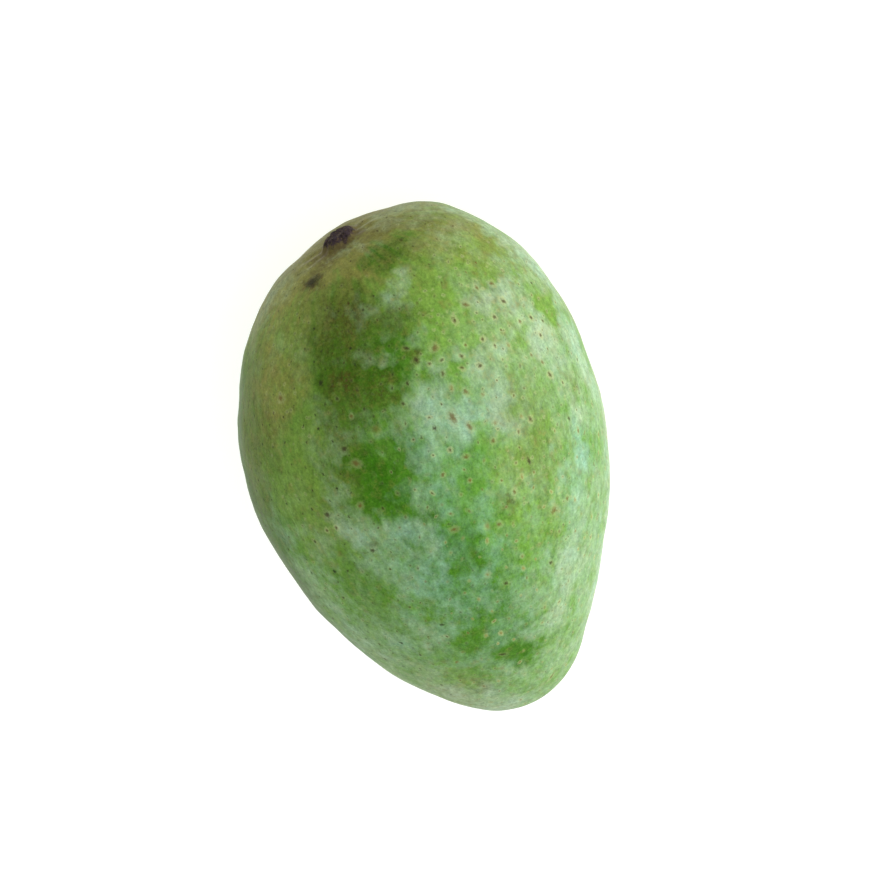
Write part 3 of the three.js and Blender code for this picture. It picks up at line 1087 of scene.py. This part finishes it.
@dataclass(frozen=True)
class SkinFinish:
    """The fruit's skin: greens under a broken film of bloom, smudges, pores and the scar.

    Colours are codes, covers and roughness are shares, and relief is in millimetres. The reaches
    of tints and the edges of the scar and of the ring of stain and painted shade round it are
    millimetres from its centre, and those of a pore's core and ring are in its own radii: where
    they start, and where they are full.
    """

    deep_green: str = "3a700e"
    leaf_green: str = "5e9436"
    gold_green: str = "7aa044"
    warm_bloom: str = "a6ba95"
    cool_bloom: str = "88b498"
    olive: str = "7f833e"
    umber: str = "78703a"
    russet: str = "4c4218"
    halo: str = "bcc488"
    speck: str = "b4be9c"
    straw: str = "94884a"
    rust: str = "6e5020"
    brown: str = "46351a"
    ink: str = "2a2c18"
    sap: str = "3a2f33"
    cork: str = "544636"
    pitch: str = "1e1817"
    # The ring round the scar: brown stain, and painted shade below the raised scar.
    stain_and_shade: str = "584c32"
    bloom_cover: float = 0.92
    ring_cover: float = 0.6
    stain_and_shade_cover: float = 0.75
    crack_cover: float = 0.8
    prick_spacing: float = 1.8
    olive_reach: tuple[float, float] = (34.0, 8.0)
    brown_reach: tuple[float, float] = (13.0, 4.0)
    scar_edge: tuple[float, float] = (3.3, 2.6)
    scar_fray: float = 3.0
    stain_and_shade_edge: tuple[float, float] = (5.8, 3.0)
    stain_and_shade_fray: float = 6.0
    core_edge: tuple[float, float] = (1.3, 0.15)
    ring_edge: tuple[float, float] = (2.3, 1.2)
    pore_fray: float = 2.8
    roughness: float = 0.40
    bloom_roughness: float = 0.18
    scar_roughness: float = 0.2
    core_roughness: float = 0.1
    grain_roughness: float = 0.1
    grain_relief: float = 0.03
    core_relief: float = 0.05
    ring_relief: float = 0.03
    scar_relief: float = 0.3
    subsurface_share: float = 0.12
    subsurface_colour: tuple[float, float, float] = (1.0, 1.0, 0.4)
    subsurface_depth: float = 1.5
    refraction: float = 1.3
    mirror: float = 0.15

    def material(self) -> bpy.types.Material:
        """Makes the skin's material.

        Returns:
            The material, which reads the films, the way to the stem and the pores from the mesh.
        """
        material = bpy.data.materials.new("mango_skin")
        material.use_nodes = True
        material.node_tree.nodes.clear()
        nodes = Nodes(material.node_tree)
        bloom, depth, gold = nodes.values("films")
        smudge, olive, cool = nodes.values("smudges")
        stem, streak, _ = nodes.values("stem_way")
        film = self.film(nodes, bloom)
        colour = self.greens(nodes, depth, gold)
        colour = self.stem_end(nodes, colour, olive, stem, streak)
        colour = nodes.blend(film * self.bloom_cover, colour, self.bloom(nodes, cool))
        colour = self.smudged(nodes, colour, smudge)
        colour = self.blotched(nodes, colour, gold)
        colour = self.specked(nodes, colour, film)
        colour = self.pricked(nodes, colour, gold * (1.0 - depth))
        core, ring, tone = self.pores(nodes)
        colour = nodes.blend(ring, colour, self.halo)
        colour = nodes.blend(core, colour, tone)
        # The ring round the scar darkens the skin: brown stain and painted shade.
        scar, stain_and_shade = self.scar(nodes, stem)
        colour = nodes.blend(stain_and_shade, colour, self.stain_and_shade)
        colour = nodes.blend(scar, colour, self.scar_colour(nodes))
        grain = nodes.noise(Grain.RELIEF)
        rough = self.roughness + self.bloom_roughness * film + self.scar_roughness * scar
        rough = rough + self.core_roughness * core + (grain - 0.5) * self.grain_roughness
        height = (grain - 0.5) * self.grain_relief + core * self.core_relief
        height = height - ring * self.ring_relief + scar * (grain * self.scar_relief)
        relief = {"Strength": 1.0, "Distance": MM, "Height": height}
        bump = nodes.add("ShaderNodeBump", inputs=relief)
        surface = nodes.add("ShaderNodeBsdfPrincipled", inputs={
            "Base Color": colour,
            "Roughness": rough,
            "Normal": bump,
            "Subsurface Weight": self.subsurface_share,
            "Subsurface Radius": self.subsurface_colour,
            "Subsurface Scale": self.subsurface_depth * MM,
            "IOR": self.refraction,
            "Specular IOR Level": self.mirror,
        })
        nodes.add("ShaderNodeOutputMaterial", inputs={"Surface": surface}, output=None)
        return material

    def film(self, nodes: Nodes, bloom: Wire) -> Wire:
        """The bloom's share: its level, broken up most where it is half rubbed off.

        Args:
            nodes: the material's nodes.
            bloom: the bloom's level.

        Returns:
            How much the bloom covers.
        """
        loose = 4.0 * bloom * (1.0 - bloom)
        broken = bloom + nodes.sway(Grain.CLOUD) * (0.95 * loose + 0.4)
        broken = broken + nodes.sway(Grain.MOTTLE) * (0.8 * loose + 0.25)
        return (broken + nodes.sway(Grain.DUST) * (0.2 * loose + 0.05)).clamped()

    def bloom(self, nodes: Nodes, cool: Wire) -> Wire:
        """The bloom's colour, warmer here and cooler there."""
        share = cool + nodes.sway(Grain.BLUE) * 1.2
        return nodes.blend(share.clamped(), self.warm_bloom, self.cool_bloom)

    def greens(self, nodes: Nodes, depth: Wire, gold: Wire) -> Wire:
        """The green under the bloom, from deep to leaf green to a yellower one.

        Args:
            nodes: the material's nodes.
            depth: how deep it is.
            gold: how yellow it is.

        Returns:
            Its colour.
        """
        yellow = (gold + nodes.sway(Grain.YELLOW) * 0.9).clamped()
        dark = (depth + nodes.sway(Grain.DEEP)).clamped()
        colour = nodes.blend(yellow, self.leaf_green, self.gold_green)
        return nodes.blend(dark, colour, self.deep_green)

    def smudged(self, nodes: Nodes, colour: Wire, smudge: Wire) -> Wire:
        """The colour with its brown smudges, broken into specks."""
        share = (smudge * (1.0 + nodes.sway(Grain.SMUDGE) * 3.0)).clamped()
        return nodes.blend(share, colour, self.russet)

    def blotched(self, nodes: Nodes, colour: Wire, gold: Wire) -> Wire:
        """The colour with soft brownish blotches, most where the green is yellow."""
        share = nodes.noise(Grain.BLOTCH).above(0.5, 0.74)
        return nodes.blend(share * (0.15 + 0.5 * gold), colour, self.umber)

    def specked(self, nodes: Nodes, colour: Wire, film: Wire) -> Wire:
        """Makes the colour uneven by fine grain and streaks, with pale specks in the bloom.

        Args:
            nodes: the material's nodes.
            colour: the colour so far.
            film: how much the bloom covers.

        Returns:
            The colour with them.
        """
        light = 1.0 + 1.25 * nodes.sway(Grain.FINE) + 0.95 * nodes.sway(Grain.STREAK)
        pale = nodes.noise(Grain.SPECK).above(0.52, 0.76)
        colour = nodes.scaled(colour, light)
        return nodes.blend(pale * (0.08 + 0.22 * film), colour, self.speck)

    def stem_end(self, nodes: Nodes, colour: Wire, olive: Wire, stem: Wire, streak: Wire) -> Wire:
        """Tints the stem end olive, with streaks that run out from the scar, and brown close to it.

        Args:
            nodes: the material's nodes.
            colour: the colour so far.
            olive: the olive tint's own patches.
            stem: the distance from the scar's centre in millimetres.
            streak: the streaks.

        Returns:
            The colour with the tints.
        """
        near = stem.above(*self.olive_reach) * (0.3 + 0.6 * streak)
        mottle = nodes.sway(Grain.STEM_END) * 1.6
        share = (near + olive * (1.0 + mottle)).clamped()
        colour = nodes.blend(share, colour, self.olive)
        browner = stem.above(*self.brown_reach) * (0.35 + mottle)
        return nodes.blend(browner.clamped(), colour, self.umber)

    def pricked(self, nodes: Nodes, colour: Wire, pale: Wire) -> Wire:
        """Draws the smallest pores: dark pricks with pale rings, round points strewn in space, so
        that each is as large as the skin cuts it.

        Args:
            nodes: the material's nodes.
            colour: the colour so far.
            pale: how much the rings show.

        Returns:
            The colour with them.
        """
        scale = 1.0 / (self.prick_spacing * MM)
        inputs = {"Vector": nodes.place, "Scale": scale, "Randomness": 1.0}
        points = nodes.add("ShaderNodeTexVoronoi", {"feature": "F1"}, inputs, "Distance")
        chance = nodes.split(Wire(nodes, points.socket.node.outputs["Color"]))[0]
        away = points + 0.5 * nodes.sway(Grain.PRICK)
        ring = away.above(0.36, 0.14) * chance * (0.06 + 0.5 * pale)
        colour = nodes.blend(ring, colour, self.halo)
        return nodes.blend(away.above(0.18, 0.04) * (0.1 + 0.5 * chance), colour, self.ink)

    def pores(self, nodes: Nodes) -> tuple[Wire, Wire, Wire]:
        """The larger pores, whose places come with the mesh, out to edges in radii of each.

        Args:
            nodes: the material's nodes.

        Returns:
            The shares of their cores and of their rings, and the cores' colour.
        """
        tone, halo, near = nodes.values("pore_kind")
        length = {"operation": "LENGTH"}
        out = nodes.add("ShaderNodeVectorMath", length, {0: nodes.vector("pore_way")}, "Value")
        fray = nodes.sway(Grain.FRAY)
        ragged = out + fray * self.pore_fray
        core = ragged.above(*self.core_edge) * near * (1.0 + 1.5 * fray)
        ring = ragged.above(*self.ring_edge) * near * halo
        colour = nodes.blend(tone.above(0.05, 0.5), self.ink, self.brown)
        colour = nodes.blend(tone.above(0.5, 0.75), colour, self.rust)
        colour = nodes.blend(tone.above(0.8, 1.0), colour, self.straw)
        return core.clamped(), ring * self.ring_cover, colour

    def scar(self, nodes: Nodes, stem: Wire) -> tuple[Wire, Wire]:
        """The scar, and the ring round it of brown stain and painted shade, with ragged edges.

        Args:
            nodes: the material's nodes.
            stem: the distance from the scar's centre in millimetres.

        Returns:
            The share of each.
        """
        ragged = stem + nodes.sway(Grain.SCAR_EDGE) * self.scar_fray
        stained_and_shaded = stem + nodes.sway(Grain.STAIN_AND_SHADE_EDGE) * self.stain_and_shade_fray
        return ragged.above(*self.scar_edge), stained_and_shaded.above(*self.stain_and_shade_edge) * self.stain_and_shade_cover

    def scar_colour(self, nodes: Nodes) -> Wire:
        """Dark sap over cork, with pitch black cracks.

        Args:
            nodes: the material's nodes.

        Returns:
            The scar's colour.
        """
        colour = nodes.blend(nodes.noise(Grain.SAP).above(0.36, 0.52), self.cork, self.sap)
        cracks = nodes.noise(Grain.CRACK).above(0.5, 0.62)
        return nodes.blend(cracks * self.crack_cover, colour, self.pitch)


# ---------------------------------------------------------------- the pieces


@dataclass
class Mango:
    """The whole fruit as one piece: its skin's mesh, its films, its pores and its material."""

    form: Form = Form()
    grid: Grid = Grid()
    films: Films = Films()
    pores: Pores = Pores()
    finish: SkinFinish = SkinFinish()

    def build(self) -> bpy.types.Object:
        """Makes the fruit, at the origin, with its place in its mesh.

        Returns:
            Its object, which is in the scene.
        """
        skin = Skin(self.form, self.grid)
        mesh = bpy.data.meshes.new("mango_skin")
        mesh.from_pydata((skin.points * MM).tolist(), [], self.grid.faces())
        mesh.polygons.foreach_set("use_smooth", np.ones(len(mesh.polygons), bool))
        levels = self.films.levels(skin)
        distance, around = self.form.scar.polar(skin.place)
        self.store(mesh, "films", levels[Film.BLOOM], levels[Film.DEPTH], levels[Film.GOLD])
        self.store(mesh, "smudges", levels[Film.RUSSET], levels[Film.OLIVE], levels[Film.COOL])
        streaks = self.streaks(distance, around)
        self.store(mesh, "stem_way", distance, streaks, np.zeros_like(distance))
        way, kind = self.pores.fields(skin)
        self.store(mesh, "pore_way", *way.T)
        self.store(mesh, "pore_kind", *kind.T)
        mesh.materials.append(self.finish.material())
        mesh.update()
        piece = bpy.data.objects.new("mango_skin", mesh)
        bpy.context.scene.collection.objects.link(piece)
        return piece

    def streaks(self, distance: np.ndarray, around: np.ndarray) -> np.ndarray:
        """Streaks that run out from the scar: noise on a circle round it, stretched outwards.

        Args:
            distance: distances from the scar's centre in millimetres.
            around: directions round it in radians.

        Returns:
            The streaks at these places, from 0 to 1.
        """
        ring, stretch = 60.0, 0.25
        place = [ring * np.cos(around), ring * np.sin(around), distance * stretch]
        noise = SmoothNoise(seed=21, wavelength=7.0, octaves=3, keep=0.7)
        return np.clip(0.5 + 0.35 * noise.at(np.stack(place, axis=-1)), 0.0, 1.0)

    @staticmethod
    def store(mesh: bpy.types.Mesh, name: str, *values: np.ndarray) -> None:
        """Three values for each of the mesh's points, as a vector attribute."""
        attribute = mesh.attributes.new(name, "FLOAT_VECTOR", "POINT")
        attribute.data.foreach_set("vector", np.stack(values, -1).astype(np.float32).ravel())


@dataclass(frozen=True)
class Studio:
    """The plain floor, the soft light and the camera that looks down on the fruit."""

    floor_size: float = 6000.0
    floor_colour: str = "fdfdfb"
    floor_glow: float = 0.2
    floor_roughness: float = 0.9
    floor_mirror: float = 0.1
    surround: float = 0.72
    key_power: float = 6.6
    key_size: float = 600.0
    key_distance: float = 900.0
    key_right: float = 1.0
    key_back: float = 0.45
    lens: float = 100.0
    sensor: float = 36.0
    sight: tuple[float, float] = (10.0, 20000.0)
    distance: float = 547.8
    tilt: float = 15.0
    roll: float = -16.64
    aim: tuple[float, float, float] = (-4.4, 0.5, 35.2)
    move_right: float = 3.08
    move_up: float = 2.06

    def axes(self) -> tuple[Vector, Vector, Vector]:
        """The camera's directions.

        Returns:
            Its right, up and back.
        """
        tilt, roll = math.radians(self.tilt), math.radians(self.roll)
        back = Vector((-math.sin(tilt), 0.0, math.cos(tilt)))
        level_up = Vector((-math.cos(tilt), 0.0, -math.sin(tilt)))
        level_right = level_up.cross(back)
        right = math.cos(roll) * level_right + math.sin(roll) * level_up
        up = math.cos(roll) * level_up - math.sin(roll) * level_right
        return right, up, back

    def camera(self) -> None:
        """The camera, set as the scene's own."""
        right, up, back = self.axes()
        data = bpy.data.cameras.new("camera")
        data.lens, data.sensor_width = self.lens, self.sensor
        data.clip_start, data.clip_end = (limit * MM for limit in self.sight)
        camera = bpy.data.objects.new("camera", data)
        place = Vector(self.aim) + back * self.distance
        place = place + right * self.move_right + up * self.move_up
        camera.matrix_world = Matrix.Translation(place * MM) @ self.turned(right, up, back)
        bpy.context.scene.collection.objects.link(camera)
        bpy.context.scene.camera = camera

    @staticmethod
    def turned(right: Vector, up: Vector, back: Vector) -> Matrix:
        """The turn whose x, y and z directions are these."""
        return Matrix((right, up, back)).transposed().to_4x4()

    def key_light(self) -> bpy.types.Object:
        """Adds one large soft light, low on the right.

        Returns:
            Its object.
        """
        right, up, back = self.axes()
        toward = (right * self.key_right + back * self.key_back).normalized()
        data = bpy.data.lights.new("key", "AREA")
        data.shape, data.size, data.energy = "SQUARE", self.key_size * MM, self.key_power
        key = bpy.data.objects.new("key", data)
        side = up.cross(toward).normalized()
        turn = self.turned(side, toward.cross(side), toward)
        place = Vector(self.aim) * MM + toward * (self.key_distance * MM)
        key.matrix_world = Matrix.Translation(place) @ turn
        bpy.context.scene.collection.objects.link(key)
        return key

    @staticmethod
    def without_shadow_of(light: bpy.types.Object, piece: bpy.types.Object) -> None:
        """Lets a light pass a piece, so that its shadow doesn't lie hard on the floor.

        Args:
            light: the light.
            piece: the piece.
        """
        blockers = bpy.data.collections.new("not_in_the_way")
        blockers.objects.link(piece)
        blockers.collection_objects[0].light_linking.link_state = "EXCLUDE"
        light.light_linking.blocker_collection = blockers

    def surroundings(self) -> None:
        """An even white surround, and colours shown as they are."""
        world = bpy.data.worlds.new("surround")
        world.use_nodes = True
        background = world.node_tree.nodes["Background"]
        background.inputs["Color"].default_value = (1.0, 1.0, 1.0, 1.0)
        background.inputs["Strength"].default_value = self.surround
        bpy.context.scene.world = world
        bpy.context.scene.view_settings.view_transform = "Standard"
        bpy.context.scene.view_settings.look = "None"

    def floor(self) -> bpy.types.Object:
        """Adds the plain pale floor.

        Returns:
            Its object.
        """
        half = self.floor_size * MM / 2
        mesh = bpy.data.meshes.new("floor")
        corners = [(-half, -half, 0), (half, -half, 0), (half, half, 0), (-half, half, 0)]
        mesh.from_pydata(corners, [], [(0, 1, 2, 3)])
        material = bpy.data.materials.new("floor")
        material.use_nodes = True
        surface = material.node_tree.nodes["Principled BSDF"]
        surface.inputs["Base Color"].default_value = linear(self.floor_colour)
        surface.inputs["Roughness"].default_value = self.floor_roughness
        surface.inputs["Specular IOR Level"].default_value = self.floor_mirror
        surface.inputs["Emission Color"].default_value = (1.0, 1.0, 1.0, 1.0)
        surface.inputs["Emission Strength"].default_value = self.floor_glow
        mesh.materials.append(material)
        floor = bpy.data.objects.new("floor", mesh)
        bpy.context.scene.collection.objects.link(floor)
        return floor


def corners(box: Sequence[Vector]) -> list[list[float]]:
    """A box's two corners as plain lists."""
    return [[float(value) for value in corner] for corner in box]


def main() -> None:
    """Builds the studio and the fruit."""
    logging.basicConfig(level=logging.INFO, format="%(name)s: %(message)s")
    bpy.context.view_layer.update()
    studio = Studio()
    studio.camera()
    studio.surroundings()
    key = studio.key_light()
    studio.floor()
    log.info("the studio is ready")
    mango = Mango().build()
    studio.without_shadow_of(key, mango)
    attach(mango, BODY)
    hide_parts(NODE)
    log.info("the mango has %d points", len(mango.data.vertices))


if __name__ == "__main__":
    main()
